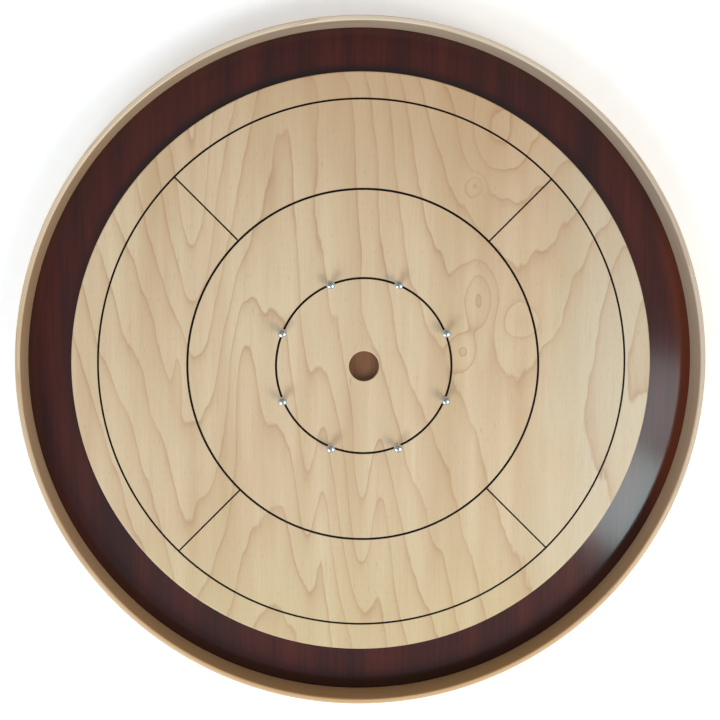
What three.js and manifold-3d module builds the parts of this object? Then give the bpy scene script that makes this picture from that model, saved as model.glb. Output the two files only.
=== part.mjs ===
// A round crokinole board. A maple playing surface is screwed to a wider, dark-stained base board.
// What the base shows round the playing surface is the ditch. A bent maple rail closes the ditch.
// Millimetres, +Z up. The origin is on the table, under the middle of the board.
import * as THREE from "three";
import { mergeVertices } from "three/addons/utils/BufferGeometryUtils.js";
import Module from "manifold-3d";

const wasm = await Module();
wasm.setup();

const INCH = 25.4;

// Heights, stacked from the table up
const FOOT_HEIGHT = 5;
const BASE_THICKNESS = 12;
const SURFACE_THICKNESS = 9.5;
const RAIL_ABOVE_SURFACE = 25;
const BASE_BOTTOM = FOOT_HEIGHT;
const BASE_TOP = BASE_BOTTOM + BASE_THICKNESS;
const SURFACE_TOP = BASE_TOP + SURFACE_THICKNESS;
const RAIL_TOP = SURFACE_TOP + RAIL_ABOVE_SURFACE;

// Round boards and the rail
const SURFACE_RADIUS = 13.2 * INCH;
const SURFACE_EDGE_ROUND = 1.2;
const TWENTY_HOLE_RADIUS = (1.375 * INCH) / 2;
const TWENTY_HOLE_CHAMFER = 0.5;
const BASE_RADIUS = 386;
const GLUE_LINE = 0.2;
const RAIL_INNER_RADIUS = BASE_RADIUS + GLUE_LINE;
const RAIL_THICKNESS = 6;
const RAIL_OUTER_RADIUS = RAIL_INNER_RADIUS + RAIL_THICKNESS;
const RAIL_INNER_ROUND = 1.5;
const RAIL_OUTER_ROUND = 2.5;
const RAIL_FOOT_CHAMFER = 1;
const SCARF_ANGLE = 30;
const SCARF_SLOPE = 8;
const SCARF_KERF = 0.3;
const SCARF_OVERRUN = 1;
const SCARF_STEPS = 8;

// Lines: grooves filled with black lacquer
const LINE_15_RADIUS = 4 * INCH;
const LINE_10_RADIUS = 8 * INCH;
const LINE_5_RADIUS = 12 * INCH;
const LINE_15_WIDTH = 2.4;
const LINE_10_WIDTH = 2.4;
const LINE_5_WIDTH = 2.1;
const QUADRANT_LINE_WIDTH = 1.7;
const QUADRANT_COUNT = 4;
const QUADRANT_FIRST_ANGLE = 45;
const LINE_DEPTH = 0.6;
const LINE_CLEARANCE = 0.1;
const LINE_SUNK = 0.05;

// Pegs
const PEG_COUNT = 8;
const PEG_FIRST_ANGLE = 22.5;
const PEG_HEIGHT = 17;
const PEG_HEAD_RADIUS = 5;
const PEG_HEAD_DOME = 2.4;
const PEG_SHANK_RADIUS = 3.1;
const PEG_TAIL_RADIUS = 2.5;
const PEG_TAIL_LENGTH = 9;
const PEG_CLEARANCE = 0.15;
const PEG_TAIL_CHAMFER = 0.5;
const PEG_NECK = 1;
const PEG_HEAD_LAND = 0.4;
const PEG_DOME_STEPS = 4;

// Screws that hold the playing surface down, from underneath
const SURFACE_SCREW_COUNT = 8;
const SURFACE_SCREW_CIRCLE = 10 * INCH;
const SURFACE_SCREW_LENGTH = 16;
const SCREW_SHANK_RADIUS = 1.9;
const SCREW_HEAD_RADIUS = 3.9;
const SCREW_HEAD_LAND = 0.3;
const SCREW_POINT = 3.5;
const SCREW_SUNK = 0.2;
const SCREW_CLEARANCE = 0.2;
const SCREW_RECESS_SPAN = 4.7;
const RECESS_WIDTH = 1;
const RECESS_DEPTH = 1.6;

// Feet
const FOOT_COUNT = 6;
const FOOT_FIRST_ANGLE = 30;
const FOOT_CIRCLE = 352;
const FOOT_TOP_RADIUS = 14;
const FOOT_SOLE_RADIUS = 11.5;
const FOOT_SOLE_ROUND = 1;
const FOOT_BORE_RADIUS = 2.4;
const FOOT_COUNTERBORE_RADIUS = 5.4;
const FOOT_COUNTERBORE_DEPTH = 2.8;
const FOOT_SCREW_HEAD_RADIUS = 4.2;
const FOOT_SCREW_HEAD_HEIGHT = 2;
const FOOT_SCREW_LENGTH = 11.5;
const FOOT_SCREW_FACE_RADIUS = 3.4;
const FOOT_SCREW_EDGE_HEIGHT = 0.8;
const FOOT_SCREW_RECESS_SPAN = 4.6;

// Brads that hold the rail to the edge of the base board
const NAIL_COUNT = 12;
const NAIL_FIRST_ANGLE = 15;
const NAIL_LENGTH = 22;
const NAIL_POINT = 2;
const NAIL_RADIUS = 0.8;
const NAIL_HEAD_RADIUS = 1.6;
const NAIL_HEAD_HEIGHT = 0.9;
const NAIL_SUNK = 0.3;
const NAIL_CLEARANCE = 0.3;
const NAIL_HEIGHT = BASE_BOTTOM + BASE_THICKNESS / 2;

// How finely round shapes are faceted
const BIG_CIRCLE_STEPS = 96;
const SMALL_CIRCLE_STEPS = 12;
const HOLE_CIRCLE_STEPS = 40;
const FOOT_CIRCLE_STEPS = 16;
const NAIL_CIRCLE_STEPS = 8;
const ARC_LINE_STEPS = 10;

const PAST = 1; // how far a cutter runs past the face that it opens
const MERGE = 1e-4;

const MATERIALS = {
  maple: { color: 0xd9bf95, roughness: 0.45, metalness: 0 },
  stainedBirch: { color: 0x3d1609, roughness: 0.25, metalness: 0 },
  railMaple: { color: 0xd8bd97, roughness: 0.5, metalness: 0 },
  blackLacquer: { color: 0x14110f, roughness: 0.4, metalness: 0 },
  nickel: { color: 0xc9cdd0, roughness: 0.12, metalness: 1 },
  zinc: { color: 0xb2b5b8, roughness: 0.35, metalness: 1 },
  rubber: { color: 0x1b1b1c, roughness: 0.85, metalness: 0 },
};
const materials = Object.fromEntries(
  Object.entries(MATERIALS).map(([name, look]) => [name, new THREE.MeshStandardMaterial(look)]),
);

const radians = THREE.MathUtils.degToRad;

// A solid of revolution about Z. A profile is a list of [radius, height], anticlockwise with Z up.
function turned(profile, steps) {
  const points = profile.map(([radius, height]) => new THREE.Vector2(radius, height));
  return new THREE.LatheGeometry(points, steps).rotateX(Math.PI / 2);
}

// A ring of revolution, whose profile doesn't touch the axis and closes on itself.
function turnedRing(profile, steps) {
  return turned([...profile, profile[0]], steps);
}

// A ring of rectangular section between two radii and two heights.
function flatRing(inner, outer, low, high, steps) {
  return turnedRing([[inner, low], [outer, low], [outer, high], [inner, high]], steps);
}

function disc(radius, low, high, steps) {
  return turned([[0, low], [radius, low], [radius, high], [0, high]], steps);
}

function solidOf(geometry) {
  const bare = geometry.index ? geometry.toNonIndexed() : geometry.clone();
  bare.deleteAttribute("normal");
  bare.deleteAttribute("uv");
  const merged = mergeVertices(bare, MERGE);
  const mesh = new wasm.Mesh({
    numProp: 3,
    vertProperties: merged.attributes.position.array,
    triVerts: new Uint32Array(merged.index.array),
  });
  return new wasm.Manifold(mesh);
}

function cut(geometry, cutters) {
  const solid = cutters.reduce((left, cutter) => left.subtract(solidOf(cutter)), solidOf(geometry));
  const { vertProperties, triVerts } = solid.getMesh();
  const result = new THREE.BufferGeometry();
  result.setAttribute("position", new THREE.BufferAttribute(vertProperties, 3));
  result.setIndex(new THREE.BufferAttribute(triVerts, 1));
  result.computeVertexNormals();
  return result;
}

// The angles, in radians, of count things spaced evenly round the board.
function anglesOf(count, firstDegrees) {
  return Array.from({ length: count }, (_, i) => radians(firstDegrees + (i * 360) / count));
}

// Copies of one geometry, each moved out to a circle and turned to its angle.
function copiesRound(geometry, angles, circle) {
  return angles.map((angle) => geometry.clone().translate(circle, 0, 0).rotateZ(angle));
}

const pegAngles = anglesOf(PEG_COUNT, PEG_FIRST_ANGLE);
const surfaceScrewAngles = anglesOf(SURFACE_SCREW_COUNT, 0);
const footAngles = anglesOf(FOOT_COUNT, FOOT_FIRST_ANGLE);
const nailAngles = anglesOf(NAIL_COUNT, NAIL_FIRST_ANGLE);
const quadrantAngles = anglesOf(QUADRANT_COUNT, QUADRANT_FIRST_ANGLE);

// A countersunk wood screw standing on its head, whose face is at height 0.
// Its hole is the same shape grown all round, and open past the head.
function countersunkProfile(grow = 0, open = 0) {
  const neck = SCREW_HEAD_LAND + SCREW_HEAD_RADIUS - SCREW_SHANK_RADIUS;
  return [
    [0, -open],
    [SCREW_HEAD_RADIUS + grow, -open],
    [SCREW_HEAD_RADIUS + grow, SCREW_HEAD_LAND],
    [SCREW_SHANK_RADIUS + grow, neck],
    [SCREW_SHANK_RADIUS + grow, SURFACE_SCREW_LENGTH - SCREW_POINT],
    [0, SURFACE_SCREW_LENGTH + grow],
  ];
}

// A pan-head screw standing on its head, whose top face is at height 0.
function panHeadProfile() {
  return [
    [0, 0],
    [FOOT_SCREW_FACE_RADIUS, 0],
    [FOOT_SCREW_HEAD_RADIUS, FOOT_SCREW_EDGE_HEIGHT],
    [FOOT_SCREW_HEAD_RADIUS, FOOT_SCREW_HEAD_HEIGHT],
    [SCREW_SHANK_RADIUS, FOOT_SCREW_HEAD_HEIGHT],
    [SCREW_SHANK_RADIUS, FOOT_SCREW_LENGTH - SCREW_POINT],
    [0, FOOT_SCREW_LENGTH],
  ];
}

// The cross recess that a driver fits, cut into a screw head whose face is at height 0.
function withCrossRecess(screw, span) {
  const long = new THREE.BoxGeometry(span, RECESS_WIDTH, 2 * RECESS_DEPTH);
  const wide = new THREE.BoxGeometry(RECESS_WIDTH, span, 2 * RECESS_DEPTH);
  return cut(screw, [long, wide]);
}

// A brad along +Z with its head at height 0. Its hole is grown all round, and open past the head.
function nailProfile(grow = 0, open = 0) {
  return [
    [0, -open],
    [NAIL_HEAD_RADIUS + grow, -open],
    [NAIL_HEAD_RADIUS + grow, NAIL_HEAD_HEIGHT + grow],
    [NAIL_RADIUS + grow, NAIL_HEAD_HEIGHT + grow],
    [NAIL_RADIUS + grow, NAIL_LENGTH - NAIL_POINT],
    [0, NAIL_LENGTH + grow],
  ];
}

// The holes that the brads make, through the rail and into the base board.
function nailHoles() {
  const hole = turned(nailProfile(NAIL_CLEARANCE, NAIL_SUNK + PAST), NAIL_CIRCLE_STEPS);
  hole.rotateY(-Math.PI / 2).translate(0, 0, NAIL_HEIGHT);
  return copiesRound(hole, nailAngles, RAIL_OUTER_RADIUS - NAIL_SUNK);
}

// The holes for the screws under the playing surface, countersunk into the base board.
function surfaceScrewHoles() {
  const hole = turned(countersunkProfile(SCREW_CLEARANCE, SCREW_SUNK + PAST), SMALL_CIRCLE_STEPS);
  hole.translate(0, 0, BASE_BOTTOM + SCREW_SUNK);
  return copiesRound(hole, surfaceScrewAngles, SURFACE_SCREW_CIRCLE);
}

function footScrewHoles() {
  const top = FOOT_COUNTERBORE_DEPTH - FOOT_SCREW_HEAD_HEIGHT + FOOT_SCREW_LENGTH + SCREW_CLEARANCE;
  const hole = disc(SCREW_SHANK_RADIUS + SCREW_CLEARANCE, BASE_BOTTOM - PAST, top, SMALL_CIRCLE_STEPS);
  return copiesRound(hole, footAngles, FOOT_CIRCLE);
}

function baseBoard() {
  const board = disc(BASE_RADIUS, BASE_BOTTOM, BASE_TOP, BIG_CIRCLE_STEPS);
  return cut(board, [...surfaceScrewHoles(), ...footScrewHoles(), ...nailHoles()]);
}

// The middle point of a corner rounded with two chords. Side is 1 on an outer wall and -1 on an inner one.
function cornerMiddle(radius, height, round, side) {
  const inset = round * (1 - Math.SQRT1_2);
  return [radius - side * inset, height - inset];
}

function roundedDisc(radius, low, high, round) {
  const corner = cornerMiddle(radius, high, round, 1);
  const edge = [[radius, low], [radius, high - round], corner, [radius - round, high]];
  return turned([[0, low], ...edge, [0, high]], BIG_CIRCLE_STEPS);
}

// The hole in the middle that scores twenty: a straight wall with a small chamfer at its mouth.
function twentyHole() {
  const mouth = TWENTY_HOLE_RADIUS + TWENTY_HOLE_CHAMFER;
  return turned(
    [
      [0, BASE_TOP - PAST],
      [TWENTY_HOLE_RADIUS, BASE_TOP - PAST],
      [TWENTY_HOLE_RADIUS, SURFACE_TOP - TWENTY_HOLE_CHAMFER],
      [mouth, SURFACE_TOP],
      [mouth, SURFACE_TOP + PAST],
      [0, SURFACE_TOP + PAST],
    ],
    HOLE_CIRCLE_STEPS,
  );
}

function lineGrooves() {
  const low = SURFACE_TOP - LINE_SUNK - LINE_DEPTH - LINE_CLEARANCE;
  const high = SURFACE_TOP + PAST;
  const rings = [
    [LINE_15_RADIUS, LINE_15_WIDTH],
    [LINE_10_RADIUS, LINE_10_WIDTH],
    [LINE_5_RADIUS, LINE_5_WIDTH],
  ];
  const ringCutters = rings.map(([radius, width]) => {
    const half = width / 2 + LINE_CLEARANCE;
    return flatRing(radius - half, radius + half, low, high, BIG_CIRCLE_STEPS);
  });
  const straight = new THREE.BoxGeometry(
    LINE_5_RADIUS - LINE_10_RADIUS,
    QUADRANT_LINE_WIDTH + 2 * LINE_CLEARANCE,
    high - low,
  );
  straight.translate(0, 0, (low + high) / 2);
  const middle = (LINE_5_RADIUS + LINE_10_RADIUS) / 2;
  return [...ringCutters, ...copiesRound(straight, quadrantAngles, middle)];
}

function playingSurface() {
  const board = roundedDisc(SURFACE_RADIUS, BASE_TOP, SURFACE_TOP, SURFACE_EDGE_ROUND);
  const pegHole = disc(
    PEG_TAIL_RADIUS + PEG_CLEARANCE,
    BASE_TOP - PAST,
    SURFACE_TOP + PAST,
    SMALL_CIRCLE_STEPS,
  );
  const pegHoles = copiesRound(pegHole, pegAngles, LINE_15_RADIUS);
  return cut(board, [twentyHole(), ...lineGrooves(), ...pegHoles, ...surfaceScrewHoles()]);
}

// The thin slanting cut between the two feathered ends of the rail, which are glued together there.
function scarfKerf() {
  const rise = RAIL_THICKNESS + 2 * SCARF_OVERRUN;
  const halfAngle = (rise * SCARF_SLOPE) / RAIL_INNER_RADIUS / 2;
  const steps = Array.from({ length: SCARF_STEPS + 1 }, (_, i) => i / SCARF_STEPS);
  const edge = (offset) =>
    steps.map((t) => {
      const radius = RAIL_INNER_RADIUS - SCARF_OVERRUN + t * rise + offset;
      const angle = radians(SCARF_ANGLE) + (2 * t - 1) * halfAngle;
      return new THREE.Vector2(radius * Math.cos(angle), radius * Math.sin(angle));
    });
  const outline = new THREE.Shape([...edge(SCARF_KERF / 2), ...edge(-SCARF_KERF / 2).reverse()]);
  const depth = RAIL_TOP - BASE_BOTTOM + 2 * PAST;
  const kerf = new THREE.ExtrudeGeometry(outline, { depth, bevelEnabled: false });
  return kerf.translate(0, 0, BASE_BOTTOM - PAST);
}

function railHoop() {
  const hoop = turnedRing(
    [
      [RAIL_INNER_RADIUS, BASE_BOTTOM],
      [RAIL_OUTER_RADIUS - RAIL_FOOT_CHAMFER, BASE_BOTTOM],
      [RAIL_OUTER_RADIUS, BASE_BOTTOM + RAIL_FOOT_CHAMFER],
      [RAIL_OUTER_RADIUS, RAIL_TOP - RAIL_OUTER_ROUND],
      cornerMiddle(RAIL_OUTER_RADIUS, RAIL_TOP, RAIL_OUTER_ROUND, 1),
      [RAIL_OUTER_RADIUS - RAIL_OUTER_ROUND, RAIL_TOP],
      [RAIL_INNER_RADIUS + RAIL_INNER_ROUND, RAIL_TOP],
      cornerMiddle(RAIL_INNER_RADIUS, RAIL_TOP, RAIL_INNER_ROUND, -1),
      [RAIL_INNER_RADIUS, RAIL_TOP - RAIL_INNER_ROUND],
    ],
    BIG_CIRCLE_STEPS,
  );
  return cut(hoop, [scarfKerf(), ...nailHoles()]);
}

// A turned peg whose shoulder stands on the playing surface, at height 0.
function pegProfile() {
  const domeBase = PEG_HEIGHT - PEG_HEAD_DOME;
  const dome = Array.from({ length: PEG_DOME_STEPS + 1 }, (_, i) => {
    const angle = ((i / PEG_DOME_STEPS) * Math.PI) / 2;
    return [PEG_HEAD_RADIUS * Math.cos(angle), domeBase + PEG_HEAD_DOME * Math.sin(angle)];
  });
  dome[PEG_DOME_STEPS][0] = 0;
  return [
    [0, -PEG_TAIL_LENGTH],
    [PEG_TAIL_RADIUS - PEG_TAIL_CHAMFER, -PEG_TAIL_LENGTH],
    [PEG_TAIL_RADIUS, PEG_TAIL_CHAMFER - PEG_TAIL_LENGTH],
    [PEG_TAIL_RADIUS, 0],
    [PEG_SHANK_RADIUS, 0],
    [PEG_SHANK_RADIUS, domeBase - PEG_HEAD_LAND - PEG_NECK],
    [PEG_HEAD_RADIUS, domeBase - PEG_HEAD_LAND],
    ...dome,
  ];
}

function footBumper() {
  return turnedRing(
    [
      [FOOT_COUNTERBORE_RADIUS, 0],
      [FOOT_SOLE_RADIUS - FOOT_SOLE_ROUND, 0],
      [FOOT_SOLE_RADIUS, FOOT_SOLE_ROUND],
      [FOOT_TOP_RADIUS, FOOT_HEIGHT],
      [FOOT_BORE_RADIUS, FOOT_HEIGHT],
      [FOOT_BORE_RADIUS, FOOT_COUNTERBORE_DEPTH],
      [FOOT_COUNTERBORE_RADIUS, FOOT_COUNTERBORE_DEPTH],
    ],
    FOOT_CIRCLE_STEPS,
  );
}

// The lacquer in one stretch of the 15 line, from one peg to the next.
function arcFill() {
  const half = Math.PI / PEG_COUNT - (PEG_SHANK_RADIUS + PEG_CLEARANCE) / LINE_15_RADIUS;
  const outline = new THREE.Shape();
  outline.absarc(0, 0, LINE_15_RADIUS + LINE_15_WIDTH / 2, -half, half, false);
  outline.absarc(0, 0, LINE_15_RADIUS - LINE_15_WIDTH / 2, half, -half, true);
  return new THREE.ExtrudeGeometry(outline, {
    depth: LINE_DEPTH,
    bevelEnabled: false,
    curveSegments: ARC_LINE_STEPS,
  });
}

function ringFill(radius, width) {
  return flatRing(radius - width / 2, radius + width / 2, 0, LINE_DEPTH, BIG_CIRCLE_STEPS);
}

function quadrantFill() {
  const gap = (LINE_5_WIDTH + LINE_10_WIDTH) / 2 + 2 * LINE_CLEARANCE;
  const fill = new THREE.BoxGeometry(LINE_5_RADIUS - LINE_10_RADIUS - gap, QUADRANT_LINE_WIDTH, LINE_DEPTH);
  const inner = LINE_10_RADIUS + LINE_10_WIDTH / 2;
  const outer = LINE_5_RADIUS - LINE_5_WIDTH / 2;
  return fill.translate((inner + outer) / 2, 0, LINE_DEPTH / 2);
}

function meshNamed(name, geometry, material) {
  const mesh = new THREE.Mesh(geometry, material);
  mesh.name = name;
  return mesh;
}

// One mesh on each angle, named name_1, name_2 and so on, at the given circle and height.
function meshesRound(name, geometry, material, angles, circle, height) {
  const group = new THREE.Group();
  angles.forEach((angle, i) => {
    const arm = new THREE.Group();
    arm.rotation.z = angle;
    const mesh = meshNamed(`${name}_${i + 1}`, geometry, material);
    mesh.position.set(circle, 0, height);
    arm.add(mesh);
    group.add(arm);
  });
  return group;
}

function lines() {
  const group = new THREE.Group();
  group.position.z = SURFACE_TOP - LINE_SUNK - LINE_DEPTH;
  const arcAngles = anglesOf(PEG_COUNT, 0);
  const black = materials.blackLacquer;
  group.add(
    meshesRound("line_15_arc", arcFill(), black, arcAngles, 0, 0),
    meshNamed("line_10_ring", ringFill(LINE_10_RADIUS, LINE_10_WIDTH), black),
    meshNamed("line_5_ring", ringFill(LINE_5_RADIUS, LINE_5_WIDTH), black),
    meshesRound("quadrant_line", quadrantFill(), black, quadrantAngles, 0, 0),
  );
  return group;
}

function pegs() {
  const peg = turned(pegProfile(), SMALL_CIRCLE_STEPS);
  return meshesRound("peg", peg, materials.nickel, pegAngles, LINE_15_RADIUS, SURFACE_TOP);
}

function surfaceScrews() {
  const plain = turned(countersunkProfile(), SMALL_CIRCLE_STEPS);
  const screw = withCrossRecess(plain, SCREW_RECESS_SPAN);
  const height = BASE_BOTTOM + SCREW_SUNK;
  return meshesRound(
    "surface_screw",
    screw,
    materials.zinc,
    surfaceScrewAngles,
    SURFACE_SCREW_CIRCLE,
    height,
  );
}

function feet() {
  const group = new THREE.Group();
  const plain = turned(panHeadProfile(), SMALL_CIRCLE_STEPS);
  const screw = withCrossRecess(plain, FOOT_SCREW_RECESS_SPAN);
  const screwHeight = FOOT_COUNTERBORE_DEPTH - FOOT_SCREW_HEAD_HEIGHT - SCREW_CLEARANCE / 2;
  group.add(
    meshesRound("foot", footBumper(), materials.rubber, footAngles, FOOT_CIRCLE, 0),
    meshesRound("foot_screw", screw, materials.zinc, footAngles, FOOT_CIRCLE, screwHeight),
  );
  return group;
}

function railNails() {
  const nail = turned(nailProfile(), NAIL_CIRCLE_STEPS).rotateY(-Math.PI / 2);
  const circle = RAIL_OUTER_RADIUS - NAIL_SUNK;
  return meshesRound("rail_nail", nail, materials.zinc, nailAngles, circle, NAIL_HEIGHT);
}

const board = new THREE.Group();
board.add(
  meshNamed("base_board", baseBoard(), materials.stainedBirch),
  meshNamed("playing_surface", playingSurface(), materials.maple),
  meshNamed("rail_hoop", railHoop(), materials.railMaple),
  lines(),
  pegs(),
  surfaceScrews(),
  feet(),
  railNails(),
);

export default board;
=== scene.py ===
"""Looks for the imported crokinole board: finer pieces, procedural materials, light and camera.

Lengths are in metres, in the row frame: +Z up, the table at Z = 0, the middle of the board at the origin.
"""

import math

import bmesh
import bpy
from mathutils import Matrix, Quaternion, Vector


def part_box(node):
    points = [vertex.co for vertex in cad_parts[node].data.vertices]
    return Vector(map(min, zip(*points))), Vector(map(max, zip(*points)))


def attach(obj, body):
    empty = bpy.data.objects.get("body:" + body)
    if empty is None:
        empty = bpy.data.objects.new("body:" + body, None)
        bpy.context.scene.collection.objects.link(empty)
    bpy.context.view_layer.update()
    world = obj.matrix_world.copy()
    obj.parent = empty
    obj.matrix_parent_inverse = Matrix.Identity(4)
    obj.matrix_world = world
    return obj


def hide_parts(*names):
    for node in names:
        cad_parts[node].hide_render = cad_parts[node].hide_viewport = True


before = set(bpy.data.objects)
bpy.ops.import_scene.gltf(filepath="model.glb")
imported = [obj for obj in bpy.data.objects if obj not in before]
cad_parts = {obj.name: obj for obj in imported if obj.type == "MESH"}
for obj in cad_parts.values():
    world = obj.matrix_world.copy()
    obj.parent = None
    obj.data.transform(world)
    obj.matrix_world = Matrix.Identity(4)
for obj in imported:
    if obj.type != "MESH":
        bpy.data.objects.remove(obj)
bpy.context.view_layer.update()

MM = 0.001

# Places and sizes that the CAD gives
SURFACE_LOW, SURFACE_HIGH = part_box("playing_surface")
BASE_LOW, BASE_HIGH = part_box("base_board")
RAIL_LOW, RAIL_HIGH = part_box("rail_hoop")
SURFACE_TOP = SURFACE_HIGH.z
SURFACE_RADIUS = SURFACE_HIGH.x
BASE_BOTTOM = BASE_LOW.z
BASE_TOP = BASE_HIGH.z
BASE_RADIUS = BASE_HIGH.x
RAIL_OUTER = RAIL_HIGH.x
RAIL_TOP = RAIL_HIGH.z

# Sizes that part.mjs has too
HOLE_RADIUS = 17.4625 * MM
HOLE_CHAMFER = 0.5 * MM
SURFACE_EDGE_ROUND = 1.2 * MM
RAIL_THICKNESS = 6 * MM
RAIL_INNER = RAIL_OUTER - RAIL_THICKNESS
RAIL_INNER_ROUND = 1.5 * MM
RAIL_OUTER_ROUND = 2.5 * MM
RAIL_FOOT_CHAMFER = 1 * MM
SCARF_ANGLE = math.radians(30)
SCARF_SLOPE = 8
LINE_15_WIDTH = 2.4 * MM
LINE_10_WIDTH = 2.4 * MM
LINE_5_WIDTH = 2.1 * MM
QUADRANT_WIDTH = 1.7 * MM
LINE_DEPTH = 0.6 * MM
LINE_SUNK = 0.05 * MM
LINE_CLEARANCE = 0.1 * MM
PEG_CIRCLE = 101.6 * MM
LINE_10_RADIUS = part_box("line_10_ring")[1].x - LINE_10_WIDTH / 2
LINE_5_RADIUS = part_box("line_5_ring")[1].x - LINE_5_WIDTH / 2
PEG_GAP = 3.25 * MM
NAIL_CIRCLE = RAIL_OUTER - 0.3 * MM

# Sizes that only this file has. The scarf joint and the holes fit more closely here than in the CAD.
GLUE_LINE = 0.12 * MM
HOLE_SLACK = 0.1 * MM
VENEER_THICKNESS = 0.8 * MM
CUTTER_REACH = 1 * MM

# Steps round the board, and round a peg or a foot
ROUND_STEPS = 288
SMALL_STEPS = 48

# The camera's lens in millimetres, its place over the board, and its lean as a rotation vector in radians
LENS = 52.09
EYE = (-56.06 * MM, 99.22 * MM, SURFACE_TOP + 1200 * MM)
LEAN = (-0.0765, -0.0427, 0)

FLOOR_REACH = 80
CEILING_HEIGHT = 3


# ---------------------------------------------------------------- meshes


def arc_points(centre, radius, start, end, steps):
    """Points of an arc in the (radius, height) plane, angles in degrees."""
    turn = [math.radians(start + (end - start) * i / steps) for i in range(steps + 1)]
    return [(centre[0] + radius * math.cos(a), centre[1] + radius * math.sin(a)) for a in turn]


def as_object(name, bm):
    """Closes up a bmesh as an object whose faces point outwards and shade smoothly up to 35 degrees."""
    bmesh.ops.recalc_face_normals(bm, faces=bm.faces)
    mesh = bpy.data.meshes.new(name)
    bm.to_mesh(mesh)
    bm.free()
    shade(mesh)
    made = bpy.data.objects.new(name, mesh)
    bpy.context.scene.collection.objects.link(made)
    return made


def shade(mesh):
    mesh.shade_smooth()
    mesh.set_sharp_from_angle(angle=math.radians(35))


def polar(radius, angle, height):
    """The point at this distance from the Z axis, in this direction, at this height."""
    return (radius * math.cos(angle), radius * math.sin(angle), height)


def ring_of(bm, radius, height, steps):
    """One ring of vertices, or a single one on the axis."""
    if radius < 1e-7:
        return [bm.verts.new((0, 0, height))]
    return [bm.verts.new(polar(radius, 2 * math.pi * i / steps, height)) for i in range(steps)]


def turned_bmesh(profile, steps, closed):
    """A surface of revolution. A profile that isn't closed starts and ends on the axis."""
    bm = bmesh.new()
    rings = [ring_of(bm, r, z, steps) for r, z in profile]
    pairs = list(zip(rings, rings[1:] + rings[:1])) if closed else list(zip(rings, rings[1:]))
    for low, high in pairs:
        for i in range(steps):
            j = (i + 1) % steps
            if len(low) == 1:
                bm.faces.new((low[0], high[i], high[j]))
            elif len(high) == 1:
                bm.faces.new((low[i], high[0], low[j]))
            else:
                bm.faces.new((low[i], high[i], high[j], low[j]))
    return bm


def turned(name, profile, steps, closed=False):
    return as_object(name, turned_bmesh(profile, steps, closed))


def lofted(name, sections):
    """A solid skinned over a row of outlines that have equally many points, with flat ends."""
    bm = bmesh.new()
    rows = [[bm.verts.new(point) for point in section] for section in sections]
    for near, far in zip(rows, rows[1:]):
        for i in range(len(near)):
            j = (i + 1) % len(near)
            bm.faces.new((near[i], near[j], far[j], far[i]))
    bm.faces.new(rows[0])
    bm.faces.new(rows[-1])
    return as_object(name, bm)


def placed(thing, x, y, z, turn=0.0, tilt=0.0):
    """Moves a mesh to its place in the vertices, after tilting it about Y and turning it about Z."""
    move = Matrix.Translation((x, y, z)) @ Matrix.Rotation(turn, 4, "Z") @ Matrix.Rotation(tilt, 4, "Y")
    thing.data.transform(move)
    return thing


def joined(name, things):
    """One object out of several meshes, which are removed."""
    bm = bmesh.new()
    for thing in things:
        bm.from_mesh(thing.data)
        bpy.data.objects.remove(thing)
    return as_object(name, bm)


def cut(thing, cutters):
    """Cuts the cutters, which don't overlap each other, out of the thing."""
    cutter = joined("cutter", cutters)
    change = thing.modifiers.new("cut", "BOOLEAN")
    change.operation = "DIFFERENCE"
    change.solver = "EXACT"
    change.object = cutter
    bpy.context.view_layer.update()
    seen = thing.evaluated_get(bpy.context.evaluated_depsgraph_get())
    thing.data = bpy.data.meshes.new_from_object(seen)
    thing.modifiers.clear()
    bpy.data.objects.remove(cutter)
    shade(thing.data)
    return thing


def box_bmesh(size, centre):
    bm = bmesh.new()
    bmesh.ops.create_cube(bm, size=1)
    bmesh.ops.scale(bm, vec=size, verts=bm.verts)
    bmesh.ops.translate(bm, vec=centre, verts=bm.verts)
    return bm


def around(count, first_degrees):
    return [math.radians(first_degrees + 360 * i / count) for i in range(count)]


def paint_faces(thing, materials, choose):
    """Gives each face the material whose number choose(centre, normal) returns."""
    thing.data.materials.clear()
    for material in materials:
        thing.data.materials.append(material)
    for face in thing.data.polygons:
        face.material_index = choose(face.center, face.normal)


def finished(thing, nodes, material=None):
    """Gives a piece its material if one is given, hides the CAD nodes it stands in for, and rides it on the
    only body.
    """
    if material is not None:
        thing.data.materials.clear()
        thing.data.materials.append(material)
    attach(thing, "root")
    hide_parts(*nodes)
    return thing


# ---------------------------------------------------------------- material graphs


def linear(value):
    value = value / 255
    return value / 12.92 if value <= 0.04045 else ((value + 0.055) / 1.055) ** 2.4


def colour(red, green, blue):
    """A colour given as sRGB values from 0 to 255."""
    return (linear(red), linear(green), linear(blue), 1)


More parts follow.
